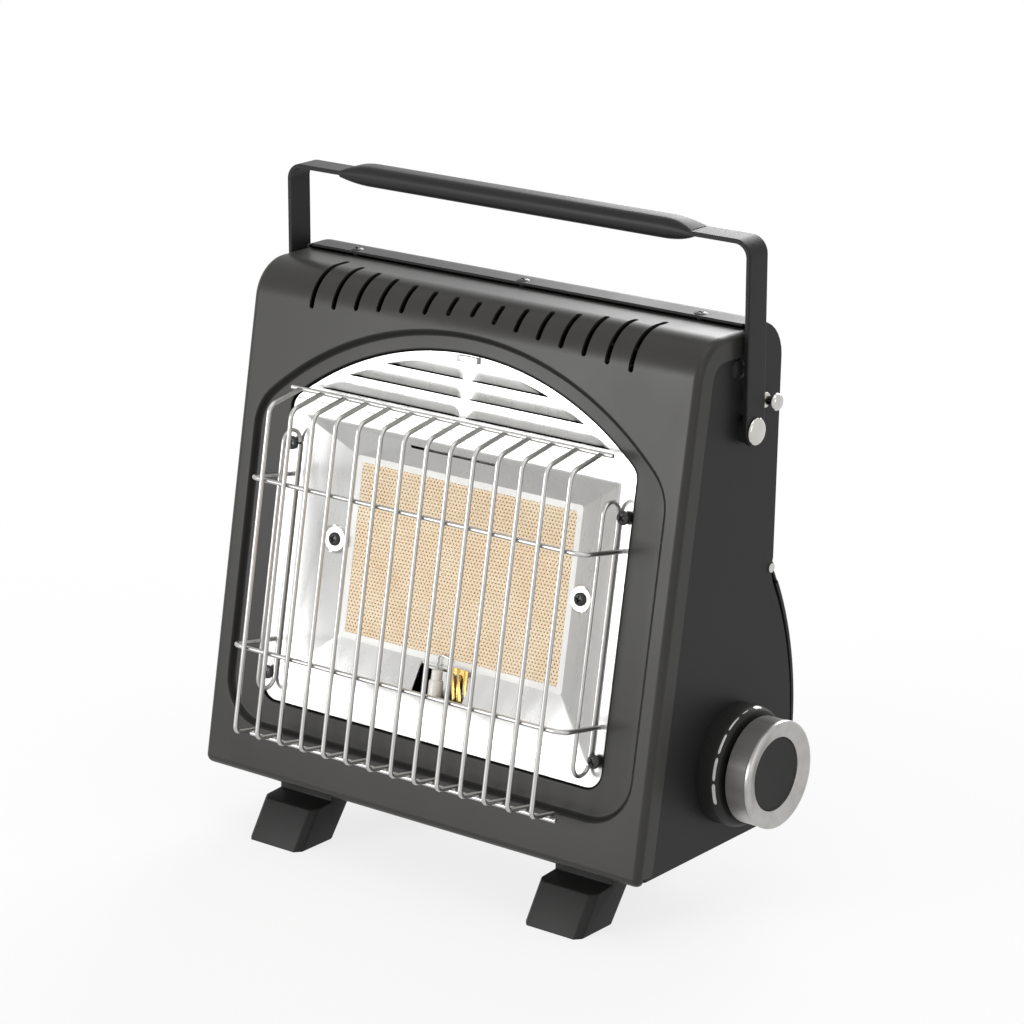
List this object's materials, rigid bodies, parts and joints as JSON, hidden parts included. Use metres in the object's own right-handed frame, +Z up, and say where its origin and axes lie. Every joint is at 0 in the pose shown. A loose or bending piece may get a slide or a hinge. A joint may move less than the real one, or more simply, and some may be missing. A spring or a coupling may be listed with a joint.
{
  "type": "portable butane heater",
  "caption": "Portable butane heater: leaning black steel case, ceramic burner in a bright tray behind a wire guard, folding handle, side knob, rear cartridge door",
  "frame": {"origin": "centre of the outline on the plane of the four soles", "axes": "+Z up, front towards -Y, control knob on +X"},
  "size_m": [0.2916, 0.1463, 0.3155],
  "materials": {
    "charcoal_paint": "satin powder coat, fine grain",
    "black_paint": "satin powder coat, near black",
    "bright_sheet": "polished bright sheet",
    "guard_wire": "bright plated wire",
    "tile_ceramic": "matt perforated ceramic",
    "white_ceramic": "glazed white ceramic",
    "plain_steel": "plain pressed steel",
    "rivet_steel": "bright turned steel",
    "brass": "machined brass",
    "copper": "drawn copper tube",
    "black_plastic": "moulded, fine grain",
    "knob_silver": "satin turned ring with a polished chamfer",
    "seal_rubber": "moulded seal",
    "fibre": "ceramic fibre gasket",
    "lead_sleeve": "silicone sleeve",
    "dark_screw": "blackened screw"
  },
  "bodies": {
    "root": {"front_panel": "charcoal_paint", "rear_panel": "black_paint", "side_panel_left": "black_paint", "side_panel_right": "black_paint", "base_plate": "black_paint", "door_pins": "rivet_steel", "door_catch": "plain_steel", "louvre_fascia": "bright_sheet", "reflector": "bright_sheet", "ceramic_tile": "tile_ceramic", "tile_gasket": "fibre", "burner_box": "plain_steel", "mixing_tube": "plain_steel", "injector": "brass", "injector_bracket": "plain_steel", "gas_pipe": "copper", "valve_bracket": "plain_steel", "regulator_body": "plain_steel", "regulator_cap": "plain_steel", "valve_body": "brass", "dial_bezel": "black_plastic", "piezo_unit": "black_plastic", "safety_valve": "brass", "cartridge_port": "plain_steel", "port_seal": "seal_rubber", "port_magnets": "plain_steel", "cartridge_cradle": "plain_steel", "heat_shield": "plain_steel", "electrode_ceramic": "white_ceramic", "electrode_wire": "rivet_steel", "electrode_bracket": "plain_steel", "ignition_lead": "lead_sleeve", "thermocouple": "brass", "thermocouple_shield": "brass", "thermocouple_lead": "copper", "guard_uprights": "guard_wire", "guard_cross_wires": "guard_wire", "guard_rods": "guard_wire", "guard_clips": "guard_wire", "reflector_screws": "dark_screw", "burner_screws": "dark_screw", "top_screws": "dark_screw", "handle_rivets": "rivet_steel", "handle_spacers": "black_plastic", "stop_studs": "rivet_steel", "front_foot_left": "black_plastic", "front_foot_right": "black_plastic", "rear_foot_left": "black_plastic", "rear_foot_right": "black_plastic", "foot_screws": "plain_steel"},
    "handle": {"handle_bail": "black_paint", "handle_grip": "black_paint"},
    "plunger": {"valve_plunger": "rivet_steel"},
    "knob": {"spindle": "rivet_steel", "knob_ring": "knob_silver", "knob_insert": "black_plastic"},
    "door": {"cartridge_door": "black_paint"}
  },
  "joints": [
    {"name": "handle_swing", "type": "hinge", "parent": "root", "child": "handle", "pos_m": [-0.00875, 0.02915, 0.2248], "axis": [1, 0, 0], "range_deg": [-18, 92]},
    {"name": "knob_press", "type": "slide", "parent": "root", "child": "plunger", "axis": [-1, 0, 0], "range_m": [0, 0.002], "stiffness_N_per_m": 1500},
    {"name": "knob_turn", "type": "hinge", "parent": "plunger", "child": "knob", "pos_m": [0.13025, 0.02345, 0.0696], "axis": [1, 0, 0], "range_deg": [0, 100]},
    {"name": "door_swing", "type": "hinge", "parent": "root", "child": "door", "pos_m": [-0.00875, 0.05135, 0.155], "axis": [1, 0, 0], "range_deg": [0, 90]}
  ]
}
